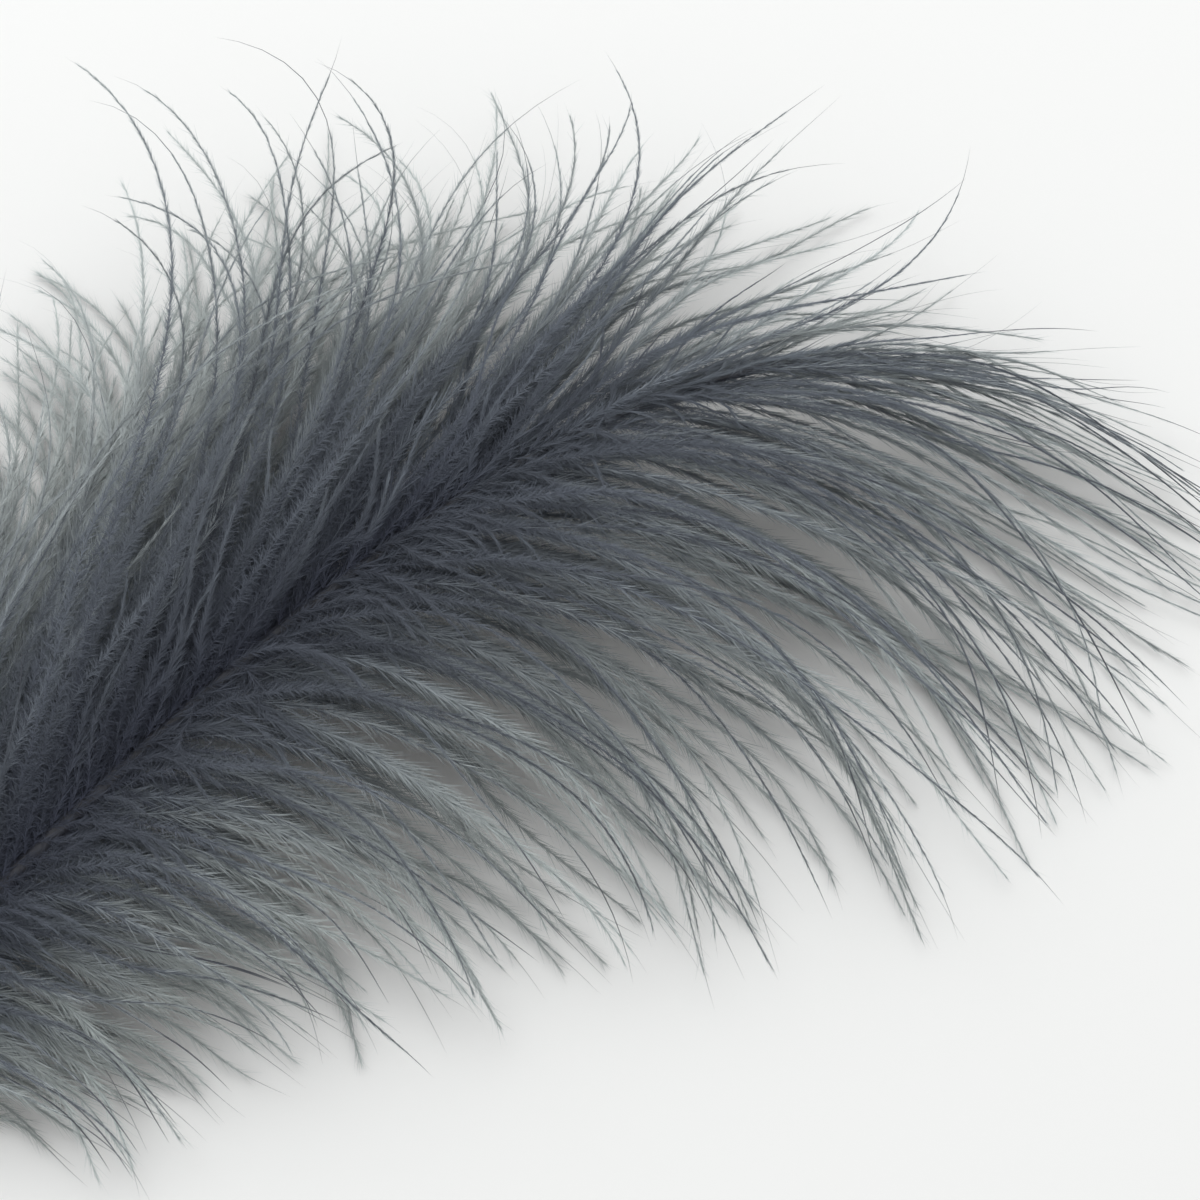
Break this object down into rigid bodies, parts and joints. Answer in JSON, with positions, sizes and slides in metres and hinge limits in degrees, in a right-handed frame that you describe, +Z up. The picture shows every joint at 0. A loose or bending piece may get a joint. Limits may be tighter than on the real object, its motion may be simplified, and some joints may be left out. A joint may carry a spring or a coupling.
{
  "type": "marabou feather",
  "caption": "Fluffy marabou plume lying down: a curved quill with long soft locks of slate-grey down along both sides and a drooping tip.",
  "frame": {"origin": "middle of the plume's bounding box, on the surface it lies on", "axes": "+X from the bare quill end towards the drooping tip, +Y away from the hanging vane, +Z up from the surface"},
  "size_m": [0.1207, 0.096, 0.0229],
  "materials": {
    "down": "matte",
    "quill": "satin"
  },
  "bodies": {
    "root": {"feather": "down"}
  },
  "joints": []
}
